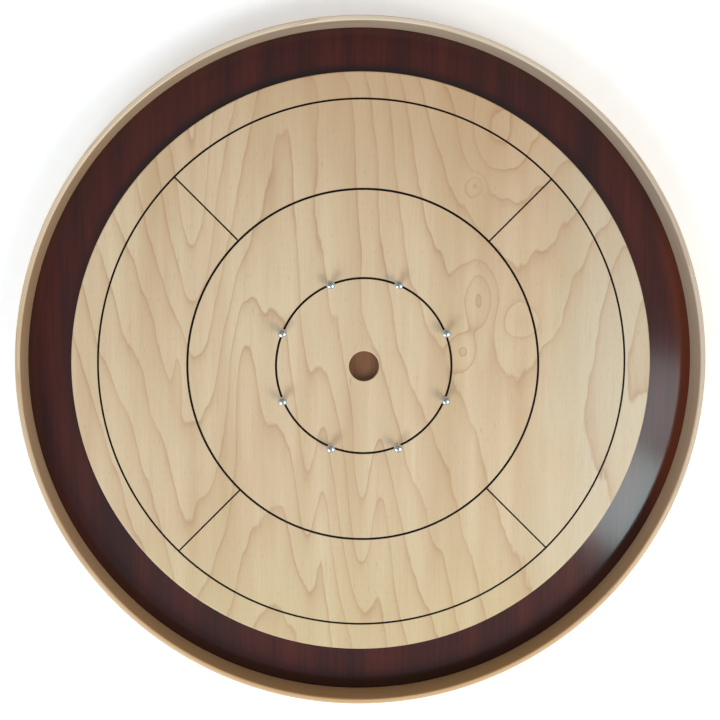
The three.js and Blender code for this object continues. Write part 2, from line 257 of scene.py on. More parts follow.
class Nodes:
    """A node tree, put together as expressions. Each call returns an output socket."""

    def __init__(self, tree):
        self.tree = tree
        self.tree.nodes.clear()

    def feed(self, socket, value):
        if isinstance(value, bpy.types.NodeSocket):
            self.tree.links.new(value, socket)
        else:
            socket.default_value = value

    def node(self, kind, inputs, output=0, **settings):
        made = self.tree.nodes.new("ShaderNode" + kind)
        for name, value in settings.items():
            setattr(made, name, value)
        for key, value in inputs.items():
            self.feed(made.inputs[key], value)
        return made.outputs[output]

    def math(self, operation, *values):
        return self.node("Math", dict(enumerate(values)), operation=operation)

    def add(self, *values):
        total = values[0]
        for value in values[1:]:
            total = self.math("ADD", total, value)
        return total

    def times(self, a, b):
        return self.math("MULTIPLY", a, b)

    def place(self):
        """The point in the row frame."""
        return self.node("TexCoord", {}, output="Object")

    def parts(self, vector):
        made = self.tree.nodes.new("ShaderNodeSeparateXYZ")
        self.feed(made.inputs[0], vector)
        return made.outputs[0], made.outputs[1], made.outputs[2]

    def stretched(self, vector, scale, shift=(0, 0, 0)):
        """The point times scale plus shift, component by component."""
        return self.node("VectorMath", {0: vector, 1: scale, 2: shift}, operation="MULTIPLY_ADD")

    def noise(self, vector, detail=2.0, roughness=0.5):
        """Smooth noise from 0 to 1 whose features are about one unit of the vector across."""
        inputs = {"Vector": vector, "Scale": 1.0, "Detail": detail, "Roughness": roughness}
        return self.node("TexNoise", inputs, noise_dimensions="3D")

    def remap(self, value, low, high, to_low=0.0, to_high=1.0, smooth=False):
        kind = "SMOOTHSTEP" if smooth else "LINEAR"
        inputs = {0: value, 1: low, 2: high, 3: to_low, 4: to_high}
        return self.node("MapRange", inputs, interpolation_type=kind, clamp=True)

    def mix(self, amount, a, b):
        inputs = {0: amount, 6: a, 7: b}
        return self.node("Mix", inputs, output=2, data_type="RGBA")

    def wash(self, base, value, start, end, share, tone, smooth=False):
        """The base with a tone laid over it, from none to this share as the value goes from start to end."""
        return self.mix(self.remap(value, start, end, 0.0, share, smooth), base, colour(*tone))

    def bump(self, height, distance, strength):
        inputs = {"Height": height, "Distance": distance, "Strength": strength}
        return self.node("Bump", inputs)


class Graph(Nodes):
    """A material with one Principled shader. The constants are set on the shader's own sockets."""

    def __init__(self, name, **constants):
        self.material = bpy.data.materials.new(name)
        self.material.use_nodes = True
        super().__init__(self.material.node_tree)
        out = self.tree.nodes.new("ShaderNodeOutputMaterial")
        self.shader = self.tree.nodes.new("ShaderNodeBsdfPrincipled")
        self.tree.links.new(self.shader.outputs[0], out.inputs["Surface"])
        for key, value in constants.items():
            self.shader.inputs[key.replace("_", " ")].default_value = value

    def finish(self, **inputs):
        for key, value in inputs.items():
            self.feed(self.shader.inputs[key.replace("_", " ")], value)
        return self.material


def contour(graph, height):
    """Lines and shades of growth rings, one at each whole number of the height, soft on their upper side."""
    phase = graph.math("FRACT", height)
    line = graph.math("EXPONENT", graph.times(phase, -17.0))
    tail = graph.math("EXPONENT", graph.times(phase, -3.2))
    onset = graph.remap(phase, 0.965, 1.0)
    return graph.math("MAXIMUM", line, onset), tail


def swell(graph, point, x, y, reach_x, reach_y, height):
    """A smooth hill in the height field, with its middle at (x, y)."""
    scale = (1 / reach_x, 1 / reach_y, 0)
    shift = (-x / reach_x, -y / reach_y, 0)
    offset = graph.stretched(point, scale, shift)
    square = graph.node("VectorMath", {0: offset, 1: offset}, output="Value", operation="DOT_PRODUCT")
    hill = graph.math("EXPONENT", graph.times(square, -1.0))
    return graph.times(hill, height)


# How the height field of the veneer's growth rings slopes along x and y, in rings per metre
RING_SLOPE = (-32.0, -9.7)

# Its hills and hollows: x, y, reach along x, reach along y, height in rings
SWELLS = (
    (0.400, 0.100, 0.180, 0.400, 11.5),
    (-0.030, 0.330, 0.090, 0.190, 2.1),
    (-0.048, -0.190, 0.013, 0.140, 0.9),
    (-0.004, -0.150, 0.015, 0.140, -1.2),
    (0.021, -0.190, 0.015, 0.130, 0.8),
    (-0.067, -0.080, 0.014, 0.140, -0.9),
    (-0.138, -0.010, 0.016, 0.100, 1.4),
    (-0.213, 0.000, 0.008, 0.050, 0.6),
    (-0.193, 0.180, 0.022, 0.140, -1.2),
    (-0.055, 0.170, 0.020, 0.110, -0.5),
    (0.150, 0.262, 0.034, 0.050, -1.5),
    (0.128, 0.208, 0.010, 0.012, 1.9),
    (0.134, 0.078, 0.020, 0.040, 2.4),
    (0.116, 0.017, 0.016, 0.018, 1.5),
    (0.185, 0.050, 0.030, 0.020, -1.2),
)


def figure(graph, point):
    """The height field whose contour lines are the maple veneer's growth rings."""
    x, y, _ = graph.parts(point)
    folds = graph.noise(graph.stretched(point, (14, 1.4, 0), (0.3, 5.2, 1.9)), detail=0.0)
    waver = graph.noise(graph.stretched(point, (45, 9, 0), (1.3, 2.2, 4.9)), detail=1.0)
    ripple = graph.noise(graph.stretched(point, (130, 40, 0), (7.7, 2.2, 4.1)), detail=1.0)
    total = graph.add(
        graph.times(x, RING_SLOPE[0]),
        graph.times(y, RING_SLOPE[1]),
        graph.remap(x, -0.222, -0.084, 0.1, 5.8, smooth=True),
        graph.times(folds, 0.5),
        graph.times(waver, 0.5),
        graph.times(ripple, 0.12),
    )
    for hill in SWELLS:
        total = graph.add(total, swell(graph, point, *hill))
    return total


def veneer_ground(graph, point):
    """The maple's colour between its lines: bands, clouds and a blush; painted shade towards the far side and
    the right, yellower towards the near side, a painted sheen at the right edge and a painted pool of light
    near the middle.
    """
    x, y, _ = graph.parts(point)
    band = graph.noise(graph.stretched(point, (26, 1.5, 0), (9, 9, 9)), detail=3.0)
    blush = graph.noise(graph.stretched(point, (48, 4, 0), (1, 6, 2)), detail=2.0)
    cloud = graph.noise(graph.stretched(point, (9, 6, 0), (2, 4, 6)), detail=2.0)
    base = graph.mix(graph.remap(band, 0.32, 0.68), colour(229, 207, 174), colour(206, 177, 138))
    base = graph.wash(base, cloud, 0.35, 0.75, 0.45, (226, 210, 174))
    base = graph.wash(base, blush, 0.45, 0.75, 0.5, (211, 178, 146))
    waver = graph.times(graph.add(cloud, -0.5), 0.2)
    # Painted shade: a darker tan towards the far side, reaching round to the right, where the light falls
    # off.
    far = graph.add(y, graph.times(x, 0.35), waver)
    base = graph.wash(base, far, 0.12, 0.36, 0.62, (205, 168, 130), smooth=True)
    base = graph.wash(base, graph.add(y, waver), -0.12, -0.30, 0.5, (212, 194, 148), smooth=True)
    # Painted sheen: paler and greyer towards the right edge, where the lacquer mirrors the lamps.
    base = graph.wash(base, graph.add(x, waver), 0.16, 0.30, 0.6, (214, 205, 182), smooth=True)
    # Painted pool of light: paler near the middle of the board.
    pale = swell(graph, point, -0.06, 0.07, 0.14, 0.16, 0.4)
    return graph.mix(pale, base, colour(234, 214, 182))


def maple_veneer():
    """Clear-lacquered rotary-cut maple, grain along Y."""
    graph = Graph("maple_veneer", IOR=1.5, Specular_IOR_Level=0.2, Coat_Weight=0.6, Coat_Roughness=0.3)
    point = graph.place()
    line, tail = contour(graph, figure(graph, point))
    fibre = graph.noise(graph.stretched(point, (700, 14, 0)), detail=3.0, roughness=0.6)
    fleck = graph.noise(graph.stretched(point, (1500, 110, 0), (5, 5, 5)), detail=0.0)
    mineral = graph.noise(graph.stretched(point, (420, 36, 0), (8, 2, 7)), detail=1.0)
    fade = graph.remap(graph.noise(graph.stretched(point, (20, 9, 0), (6, 6, 6))), 0.35, 0.6, 0.3, 1.0)
    base = veneer_ground(graph, point)
    base = graph.wash(base, tail, 0.0, 1.0, 0.34, (197, 156, 118))
    base = graph.wash(base, graph.times(line, fade), 0.0, 1.0, 0.47, (170, 121, 86))
    base = graph.wash(base, fibre, 0.45, 0.75, 0.20, (186, 152, 117))
    base = graph.wash(base, fleck, 0.70, 0.80, 0.25, (150, 112, 80))
    base = graph.wash(base, mineral, 0.76, 0.82, 0.5, (120, 92, 66))
    rough = graph.remap(fibre, 0.2, 0.8, 0.34, 0.46)
    bump = graph.bump(graph.add(fibre, graph.times(line, -0.4)), 0.02 * MM, 0.5)
    return graph.finish(Base_Color=base, Roughness=rough, Normal=bump)


def ply_edge(name, low, high, plies, light, dark):
    """The edge of a plywood board, with its plies between two heights."""
    graph = Graph(name, IOR=1.5)
    point = graph.place()
    x, y, z = graph.parts(point)
    wobble = graph.noise(graph.stretched(point, (55, 55, 55)), detail=2.0)
    level = graph.add(graph.remap(z, low, high, 0.0, float(plies)), graph.times(wobble, 0.18))
    odd = graph.remap(graph.math("PINGPONG", level, 1.0), 0.42, 0.58)
    square = graph.add(graph.times(x, x), graph.times(y, y))
    share = graph.math("DIVIDE", graph.times(x, x), square)
    end_grain = graph.math("ABSOLUTE", graph.math("SUBTRACT", odd, share))
    speckle = graph.noise(graph.stretched(point, (900, 900, 1400)), detail=2.0, roughness=0.7)
    streak = graph.noise(graph.stretched(point, (60, 60, 2600)), detail=2.0)
    base = graph.mix(end_grain, colour(*light), colour(*dark))
    base = graph.wash(base, speckle, 0.4, 0.7, 0.35, (0.72 * c for c in dark))
    base = graph.wash(base, streak, 0.4, 0.7, 0.3, light)
    phase = graph.math("FRACT", graph.add(level, 0.5))
    from_glue = graph.math("ABSOLUTE", graph.math("SUBTRACT", phase, 0.5))
    base = graph.wash(base, from_glue, 0.09, 0.0, 0.55, (0.5 * c for c in dark))
    rough = graph.remap(speckle, 0.2, 0.8, 0.42, 0.6)
    return graph.finish(Base_Color=base, Roughness=rough, Normal=graph.bump(speckle, 0.04 * MM, 0.6))


def ditch_edges(graph, point, base):
    """Darkens the stain beside the rail on the near side, a painted shade; warms it beside the rail at the
    right, a painted reflection of the maple rail; and darkens it by the maple's far edge, a painted shadow of
    the playing surface.
    """
    x, y, _ = graph.parts(point)
    reach = graph.math("SQRT", graph.add(graph.times(x, x), graph.times(y, y)))
    rim = graph.remap(reach, RAIL_INNER - 22.2 * MM, RAIL_INNER - 10.2 * MM)
    surface_shadow = graph.remap(reach, SURFACE_RADIUS + 12.7 * MM, SURFACE_RADIUS + 2.7 * MM)
    near = graph.remap(graph.add(y, graph.times(x, -0.35)), -0.24, -0.12, 0.85, 0.25, smooth=True)
    right = graph.remap(x, 0.325, 0.370, 0.0, 0.6, smooth=True)
    far = graph.remap(y, 0.08, 0.24, 0.0, 0.7, smooth=True)
    # Painted shade: darker beside the rail on the near side.
    base = graph.mix(graph.times(rim, near), base, colour(40, 2, 0))
    # Painted reflection: the maple rail's warm glow in the varnish beside the rail at the right.
    base = graph.mix(graph.times(rim, right), base, colour(116, 44, 8))
    # Painted shadow: darker beside the far edge of the playing surface.
    return graph.mix(graph.times(surface_shadow, far), base, colour(22, 4, 2))


def stained_top(name, dark, warm, streak_colour):
    """Birch veneer under dark stain and gloss varnish, grain along Y."""
    graph = Graph(name, IOR=1.5, Specular_IOR_Level=0.12, Coat_Weight=1.0, Coat_Roughness=0.13)
    point = graph.place()
    broad = graph.noise(graph.stretched(point, (30, 2.2, 0), (1, 8, 3)), detail=3.0)
    streak = graph.noise(graph.stretched(point, (260, 7, 0), (4, 4, 4)), detail=3.0, roughness=0.6)
    pore = graph.noise(graph.stretched(point, (1600, 60, 0), (6, 1, 2)), detail=1.0)
    brushed = graph.noise(graph.stretched(point, (90, 3, 0), (8, 3, 1)), detail=1.0)
    base = graph.mix(graph.remap(broad, 0.3, 0.7), colour(*dark), colour(*warm))
    base = graph.wash(base, streak, 0.45, 0.8, 0.7, streak_colour)
    base = graph.wash(base, pore, 0.62, 0.8, 0.6, (16, 4, 3))
    base = ditch_edges(graph, point, base)
    rough = graph.remap(streak, 0.2, 0.8, 0.42, 0.58)
    height = graph.add(brushed, graph.times(pore, -0.15), graph.times(streak, 0.3))
    bump = graph.bump(height, 0.06 * MM, 0.6)
    return graph.finish(Base_Color=base, Roughness=rough, Normal=bump, Coat_Normal=bump)


def clear_birch():
    """The base board's underside: clear birch veneer, grain along Y."""
    graph = Graph("clear_birch", IOR=1.5)
    point = graph.place()
    height = graph.add(
        graph.times(graph.noise(graph.stretched(point, (14, 1.4, 0), (6, 2, 8)), detail=2.0), 11.0),
        graph.times(graph.parts(point)[0], 9.0),
    )
    line, tail = contour(graph, height)
    fibre = graph.noise(graph.stretched(point, (600, 12, 0), (3, 3, 3)), detail=3.0, roughness=0.6)
    base = graph.wash(colour(216, 190, 150), tail, 0.0, 1.0, 0.4, (196, 163, 120))
    base = graph.wash(base, line, 0.0, 1.0, 0.35, (166, 128, 88))
    base = graph.wash(base, fibre, 0.4, 0.75, 0.35, (178, 142, 102))
    rough = graph.remap(fibre, 0.2, 0.8, 0.5, 0.66)
    return graph.finish(Base_Color=base, Roughness=rough, Normal=graph.bump(fibre, 0.03 * MM, 0.6))


def rail_ground(graph, along):
    """The rail's colour between its lines: painted cool light on the far side, painted warm shade on the near
    side, painted shade on its walls below the top, and a painted highlight on its far top.
    """
    x, y, z = graph.parts(graph.place())
    cloud = graph.noise(graph.stretched(along, (5, 20, 20), (4, 4, 4)), detail=2.0)
    base = graph.mix(graph.remap(cloud, 0.3, 0.7), colour(222, 195, 160), colour(210, 180, 143))
    # Painted cool light: greyer and paler towards the far side and the right, whose walls face the cool lamp.
    cool = graph.add(graph.times(x, 0.6), graph.times(y, 0.8))
    base = graph.wash(base, cool, -0.02, 0.30, 0.7, (208, 198, 184), smooth=True)
    # Painted shade: warmer and darker towards the near side, whose walls face away from the lamps.
    base = graph.wash(base, y, -0.10, -0.38, 0.6, (210, 166, 109), smooth=True)
    # Painted shade: the walls below the top a shade darker than the top.
    top = graph.remap(z, RAIL_TOP - 3.5 * MM, RAIL_TOP - 1.5 * MM)
    base = graph.wash(base, top, 1.0, 0.0, 0.36, (154, 118, 80))
    # Painted highlight: a pale top on the far side.
    far_top_highlight = graph.add(graph.times(x, -0.3), graph.times(y, 0.95))
    far_top_highlight = graph.remap(far_top_highlight, 0.10, 0.35, 0.0, 0.6, smooth=True)
    return graph.mix(graph.times(top, far_top_highlight), base, colour(246, 230, 206))


def rail_maple():
    """Maple bent to a hoop. Its grain attribute holds the place along the strip, across it and up it."""
    graph = Graph("rail_maple", IOR=1.5, Coat_Weight=0.25, Coat_Roughness=0.25)
    along = graph.node("Attribute", {}, output="Vector", attribute_name="grain", attribute_type="GEOMETRY")
    waves = graph.noise(graph.stretched(along, (2.2, 60, 60), (2, 3, 5)), detail=2.0)
    line, tail = contour(graph, graph.add(graph.times(waves, 5.0), graph.times(graph.parts(along)[2], 60.0)))
    fibre = graph.noise(graph.stretched(along, (14, 900, 900)), detail=3.0, roughness=0.6)
    base = rail_ground(graph, along)
    base = graph.wash(base, tail, 0.0, 1.0, 0.30, (190, 153, 116))
    base = graph.wash(base, line, 0.0, 1.0, 0.40, (163, 124, 90))
    base = graph.wash(base, fibre, 0.4, 0.75, 0.3, (180, 144, 108))
    rough = graph.remap(fibre, 0.2, 0.8, 0.36, 0.5)
    return graph.finish(Base_Color=base, Roughness=rough, Normal=graph.bump(fibre, 0.03 * MM, 0.5))


def line_lacquer():
    """Black lacquer, laid in a groove."""
    graph = Graph("line_lacquer", IOR=1.5, Specular_IOR_Level=0.15)
    point = graph.place()
    flow = graph.noise(graph.stretched(point, (450, 450, 450)), detail=2.0)
    speck = graph.noise(graph.stretched(point, (2500, 2500, 2500)), detail=1.0)
    base = graph.mix(graph.remap(flow, 0.3, 0.7), colour(11, 5, 1), colour(19, 11, 5))
    base = graph.wash(base, speck, 0.6, 0.8, 0.4, (32, 24, 16))
    rough = graph.remap(flow, 0.3, 0.7, 0.45, 0.6)
    return graph.finish(Base_Color=base, Roughness=rough, Normal=graph.bump(flow, 0.05 * MM, 0.6))


def polished_nickel():
    """Turned and polished nickel, with faint marks of the tool and of use."""
    graph = Graph("polished_nickel", Metallic=1.0)
    point = graph.place()
    marks = graph.noise(graph.stretched(point, (300, 300, 5200)), detail=2.0)
    haze = graph.noise(graph.stretched(point, (420, 420, 420)), detail=3.0)
    base = graph.mix(graph.remap(haze, 0.3, 0.7), colour(219, 224, 222), colour(199, 208, 207))
    rough = graph.remap(graph.add(graph.times(haze, 0.5), graph.times(marks, 0.5)), 0.3, 0.7, 0.09, 0.19)
    return graph.finish(Base_Color=base, Roughness=rough, Normal=graph.bump(marks, 0.004 * MM, 0.5))


def zinc_steel():
    """Zinc-plated steel."""
    graph = Graph("zinc_steel", Metallic=1.0)
    point = graph.place()
    spangle = graph.noise(graph.stretched(point, (700, 700, 700)), detail=3.0)
    smear = graph.noise(graph.stretched(point, (160, 160, 160), (3, 1, 2)), detail=2.0)
    base = graph.mix(graph.remap(smear, 0.35, 0.65), colour(190, 192, 194), colour(172, 170, 160))
    base = graph.wash(base, spangle, 0.5, 0.75, 0.4, (140, 142, 146))
    rough = graph.remap(spangle, 0.25, 0.75, 0.28, 0.46)
    return graph.finish(Base_Color=base, Roughness=rough, Normal=graph.bump(spangle, 0.02 * MM, 0.5))


def foot_rubber():
    """Dark moulded rubber, a little dusty."""
    graph = Graph("foot_rubber", IOR=1.5)
    point = graph.place()
    grain = graph.noise(graph.stretched(point, (1800, 1800, 1800)), detail=2.0)
    dust = graph.noise(graph.stretched(point, (120, 120, 120)), detail=4.0)
    base = graph.mix(graph.remap(grain, 0.35, 0.7), colour(28, 28, 29), colour(38, 38, 38))
    base = graph.wash(base, dust, 0.5, 0.8, 0.35, (92, 90, 86))
    rough = graph.remap(dust, 0.3, 0.7, 0.68, 0.86)
    return graph.finish(Base_Color=base, Roughness=rough, Normal=graph.bump(grain, 0.08 * MM, 0.7))


# ---------------------------------------------------------------- pieces


def node_names(stem, count):
    return [f"{stem}_{i + 1}" for i in range(count)]


def middle(node):
    low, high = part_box(node)
    return (low + high) / 2


def countersunk_profile(grow=0.0, open_by=0.0):
    """A countersunk screw with its head's face at height 0, or the hole for it."""
    head, shank, land, length, point = 3.9 * MM, 1.9 * MM, 0.3 * MM, 16 * MM, 3.5 * MM
    return [
        (0, -open_by),
        (head + grow, -open_by),
        (head + grow, land),
        (shank + grow, land + head - shank),
        (shank + grow, length - point),
        (0, length + grow),
    ]


def surface_screw_holes():
    holes = []
    for name in node_names("surface_screw", 8):
        spot = middle(name)
        hole = turned("hole", countersunk_profile(HOLE_SLACK, 1.2 * MM), 24)
        holes.append(placed(hole, spot.x, spot.y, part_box(name)[0].z))
    return holes


def nail_profile(grow=0.0, open_by=0.0):
    """A brad with its head at height 0, or the hole for it."""
    head, shank, thick, length, point = 1.6 * MM, 0.8 * MM, 0.9 * MM, 22 * MM, 2 * MM
    if open_by:
        start = [(0, -open_by), (head + grow, -open_by)]
    else:
        start = [(0, 0), (head - 0.25 * MM, 0), (head, 0.2 * MM)]
    return start + [
        (head + grow, thick + grow),
        (shank + grow, thick + grow),
        (shank + grow, length - point),
        (0, length + grow),
    ]


def nail_holes():
    height = middle("rail_nail_1").z
    holes = []
    for angle in around(12, 15):
        hole = turned("hole", nail_profile(HOLE_SLACK, 1.3 * MM), 20)
        holes.append(placed(hole, *polar(NAIL_CIRCLE, angle, height), turn=angle, tilt=-math.pi / 2))
    return holes


def round_hole(radius, low, high, steps):
    return turned("hole", [(0, low), (radius, low), (radius, high), (0, high)], steps)


def foot_screw_holes():
    low, high = BASE_BOTTOM - CUTTER_REACH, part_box("foot_screw_1")[1].z + 0.2 * MM
    spots = [middle(name) for name in node_names("foot", 6)]
    return [placed(round_hole(2 * MM, low, high, 24), spot.x, spot.y, 0) for spot in spots]


def peg_holes():
    low, high = BASE_TOP - CUTTER_REACH, SURFACE_TOP + CUTTER_REACH
    spots = [polar(PEG_CIRCLE, angle, 0) for angle in around(8, 22.5)]
    return [placed(round_hole(2.6 * MM, low, high, 32), *spot) for spot in spots]


def quadrant_grooves():
    """Bars that cut the four radial grooves, from one ring's groove to the other's."""
    low = SURFACE_TOP - LINE_SUNK - LINE_DEPTH - 0.9 * LINE_CLEARANCE
    high = SURFACE_TOP + CUTTER_REACH
    size = (LINE_5_RADIUS - LINE_10_RADIUS, QUADRANT_WIDTH + 2 * LINE_CLEARANCE, high - low)
    centre = ((LINE_5_RADIUS + LINE_10_RADIUS) / 2, 0, (low + high) / 2)
    bars = []
    for angle in around(4, 45):
        bars.append(placed(as_object("bar", box_bmesh(size, centre)), 0, 0, 0, turn=angle))
    return bars


def groove(radius, width):
    """Profile points of a line's groove, from its outer edge to its inner edge."""
    half = width / 2 + LINE_CLEARANCE
    low = SURFACE_TOP - LINE_SUNK - LINE_DEPTH - LINE_CLEARANCE
    return [
        (radius + half, SURFACE_TOP),
        (radius + half, low),
        (radius - half, low),
        (radius - half, SURFACE_TOP),
    ]


def surface_profile():
    """The playing surface's section, with its rings' grooves, from the hole's foot outwards and back."""
    corner = (SURFACE_RADIUS - SURFACE_EDGE_ROUND, SURFACE_TOP - SURFACE_EDGE_ROUND)
    return [
        (HOLE_RADIUS, BASE_TOP),
        (SURFACE_RADIUS - 0.3 * MM, BASE_TOP),
        (SURFACE_RADIUS, BASE_TOP + 0.3 * MM),
        *arc_points(corner, SURFACE_EDGE_ROUND, 0, 90, 6),
        (SURFACE_RADIUS - 3 * MM, SURFACE_TOP),
        *groove(LINE_5_RADIUS, LINE_5_WIDTH),
        *groove(LINE_10_RADIUS, LINE_10_WIDTH),
        *groove(PEG_CIRCLE, LINE_15_WIDTH),
        (HOLE_RADIUS + 2 * HOLE_CHAMFER, SURFACE_TOP),
        (HOLE_RADIUS + HOLE_CHAMFER, SURFACE_TOP),
        (HOLE_RADIUS + 0.15 * HOLE_CHAMFER, SURFACE_TOP - 0.4 * HOLE_CHAMFER),
        (HOLE_RADIUS, SURFACE_TOP - HOLE_CHAMFER),
    ]


def playing_surface(veneer, edge):
    """The maple-faced board, with grooves, peg holes, screw holes and the hole in its middle."""
    board = turned("maple_playing_surface", surface_profile(), ROUND_STEPS, closed=True)
    cut(board, [*surface_screw_holes(), *quadrant_grooves(), *peg_holes()])
    veneer_low = SURFACE_TOP - VENEER_THICKNESS
    paint_faces(board, [veneer, edge], lambda at, normal: 0 if at.z > veneer_low else 1)
    return finished(board, ["playing_surface"])


def base_profile():
    low, high, radius = BASE_BOTTOM, BASE_TOP, BASE_RADIUS
    return [
        (0, low),
        (radius - 2 * MM, low),
        (radius - 0.4 * MM, low),
        (radius, low + 0.4 * MM),
        (radius, high - 0.2 * MM),
        (radius - 0.2 * MM, high),
        (radius - 2 * MM, high),
        (HOLE_RADIUS + 1 * MM, high),
        (0, high),
    ]


def base_board(stain, hole_floor, underside):
    """The stained board under everything, with its screw and brad holes."""
    board = turned("stained_base_board", base_profile(), ROUND_STEPS)
    cut(board, [*surface_screw_holes(), *foot_screw_holes(), *nail_holes()])

    def choose(at, normal):
        if at.z < BASE_BOTTOM + 0.5 * MM or normal.z < -0.5:
            return 2
        return 1 if math.hypot(at.x, at.y) < HOLE_RADIUS + 1 * MM and normal.z > 0.9 else 0

    paint_faces(board, [stain, hole_floor, underside], choose)
    return finished(board, ["base_board"])


def scarf_turn(radius):
    """How far, in radians, the scarf joint has run round the rail at this radius."""
    share = (radius - RAIL_INNER + 1 * MM) / (RAIL_THICKNESS + 2 * MM)
    half = (RAIL_THICKNESS + 2 * MM) * SCARF_SLOPE / RAIL_INNER / 2
    return SCARF_ANGLE + (2 * share - 1) * half


def rail_profile():
    outer = (RAIL_OUTER - RAIL_OUTER_ROUND, RAIL_TOP - RAIL_OUTER_ROUND)
    inner = (RAIL_INNER + RAIL_INNER_ROUND, RAIL_TOP - RAIL_INNER_ROUND)
    low = BASE_BOTTOM
    return [
        (RAIL_INNER + 0.3 * MM, low),
        (RAIL_OUTER - RAIL_FOOT_CHAMFER, low),
        *arc_points((RAIL_OUTER - RAIL_FOOT_CHAMFER, low + RAIL_FOOT_CHAMFER), RAIL_FOOT_CHAMFER, -75, 0, 4),
        (RAIL_OUTER, low + 3 * MM),
        (RAIL_OUTER, RAIL_TOP - RAIL_OUTER_ROUND - 2 * MM),
        *arc_points(outer, RAIL_OUTER_ROUND, 0, 90, 8),
        *arc_points(inner, RAIL_INNER_ROUND, 90, 180, 6),
        (RAIL_INNER, RAIL_TOP - RAIL_INNER_ROUND - 2 * MM),
        (RAIL_INNER, low + 0.3 * MM),
    ]


def rail_hoop(maple):
    """One strip bent to a hoop, with its two feathered ends glued in a scarf joint."""
    profile = rail_profile()
    slack = GLUE_LINE / 2 * SCARF_SLOPE / RAIL_INNER
    sections = []
    for i in range(ROUND_STEPS + 1):
        along = slack + (2 * math.pi - 2 * slack) * i / ROUND_STEPS
        sections.append([polar(r, along + scarf_turn(r), z) for r, z in profile])
    hoop = cut(lofted("bent_rail_hoop", sections), nail_holes())
    grain = hoop.data.attributes.new("grain", "FLOAT_VECTOR", "POINT")
    for i, vertex in enumerate(hoop.data.vertices):
        radius = math.hypot(vertex.co.x, vertex.co.y)
        turn = (math.atan2(vertex.co.y, vertex.co.x) - scarf_turn(radius)) % (2 * math.pi)
        grain.data[i].vector = (turn * RAIL_INNER, radius - RAIL_INNER, vertex.co.z)
    return finished(hoop, ["rail_hoop"], maple)


def fill_profile(radius, width):
    """The section of a line's lacquer, with its upper edges a little rounded."""
    low = SURFACE_TOP - LINE_SUNK - LINE_DEPTH
    high = SURFACE_TOP - LINE_SUNK
    half, soft = width / 2, 0.12 * MM
    return [
        (radius - half, low),
        (radius + half, low),
        (radius + half, high - soft),
        (radius + half - 0.3 * soft, high - 0.3 * soft),
        (radius + half - soft, high),
        (radius - half + soft, high),
        (radius - half + 0.3 * soft, high - 0.3 * soft),
        (radius - half, high - soft),
    ]


def swept(name, section, start, end, steps):
    """A closed section of (radius, height) points swept round Z from one angle to another, with flat ends."""
    angles = [start + (end - start) * i / steps for i in range(steps + 1)]
    return lofted(name, [[polar(r, angle, z) for r, z in section] for angle in angles])


def straight_fill(name, angle):
    """The lacquer of one radial line, between the two outer rings."""
    section = fill_profile(0, QUADRANT_WIDTH)
    start = LINE_10_RADIUS + LINE_10_WIDTH / 2 + LINE_CLEARANCE
    end = LINE_5_RADIUS - LINE_5_WIDTH / 2 - LINE_CLEARANCE
    bar = lofted(name, [[(x, across, z) for across, z in section] for x in (start, end)])
    return placed(bar, 0, 0, 0, turn=angle)


def lines(lacquer):
    rings = (("line_5_ring", LINE_5_RADIUS, LINE_5_WIDTH), ("line_10_ring", LINE_10_RADIUS, LINE_10_WIDTH))
    for node, radius, width in rings:
        ring = turned(node + "_lacquer", fill_profile(radius, width), ROUND_STEPS, closed=True)
        finished(ring, [node], lacquer)
    half = math.pi / 8 - PEG_GAP / PEG_CIRCLE
    section = fill_profile(PEG_CIRCLE, LINE_15_WIDTH)
    for node, angle in zip(node_names("line_15_arc", 8), around(8, 0)):
        arc = swept(node + "_lacquer", section, angle - half, angle + half, 36)
        finished(arc, [node], lacquer)
    for node, angle in zip(node_names("quadrant_line", 4), around(4, 45)):
        finished(straight_fill(node + "_lacquer", angle), [node], lacquer)


def peg_profile():
    """A turned peg whose shoulder stands on the playing surface, at height 0."""
    head, shank, tail = 5 * MM, 3.1 * MM, 2.5 * MM
    top, dome, land, neck, length = 17 * MM, 2.4 * MM, 0.4 * MM, 1 * MM, 9 * MM
    base = top - dome
    quarter_turn = around(64, 0)[:16]
    return [
        (0, -length),
        (tail - 0.5 * MM, -length),
        (tail, 0.5 * MM - length),
        (tail, 0),
        (shank - 0.15 * MM, 0),
        (shank, 0.15 * MM),
        (shank, base - land - neck),
        (shank + 0.25 * (head - shank), base - land - 0.65 * neck),
        (head - 0.12 * MM, base - land - 0.1 * MM),
        (head, base - land + 0.05 * MM),
        *[(head * math.cos(a), base + dome * math.sin(a)) for a in quarter_turn],
        (0, top),
    ]


def pegs(nickel):
    for name in node_names("peg", 8):
        spot = middle(name)
        peg = placed(turned(name + "_turned", peg_profile(), SMALL_STEPS), spot.x, spot.y, SURFACE_TOP)
        finished(peg, [name], nickel)


def cross_recess(span):
    """Two crossed bars that taper with depth, to cut a driver's recess into a screw head at height 0."""
    bars = []
    for turn in (0, math.pi / 2):
        bm = box_bmesh((span, 1 * MM, 3.2 * MM), (0, 0, 0))
        for vertex in bm.verts:
            if vertex.co.z > 0:
                vertex.co.x *= 0.45
                vertex.co.y *= 0.7
        bars.append(placed(as_object("bar", bm), 0, 0, 0, turn=turn))
    return bars


def with_recess(screw, span):
    for bar in cross_recess(span):
        cut(screw, [bar])
    return screw


def stopping_turn(place, degrees_per_mm):
    """The angle at which a driven screw has come to a stop. It goes by the place, so few look lined up."""
    return math.radians(degrees_per_mm * place / MM)


def surface_screws(zinc):
    for name in node_names("surface_screw", 8):
        spot = middle(name)
        screw = with_recess(turned(name + "_countersunk", countersunk_profile(), 40), 4.7 * MM)
        placed(screw, spot.x, spot.y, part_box(name)[0].z, turn=stopping_turn(spot.x, 37))
        finished(screw, [name], zinc)


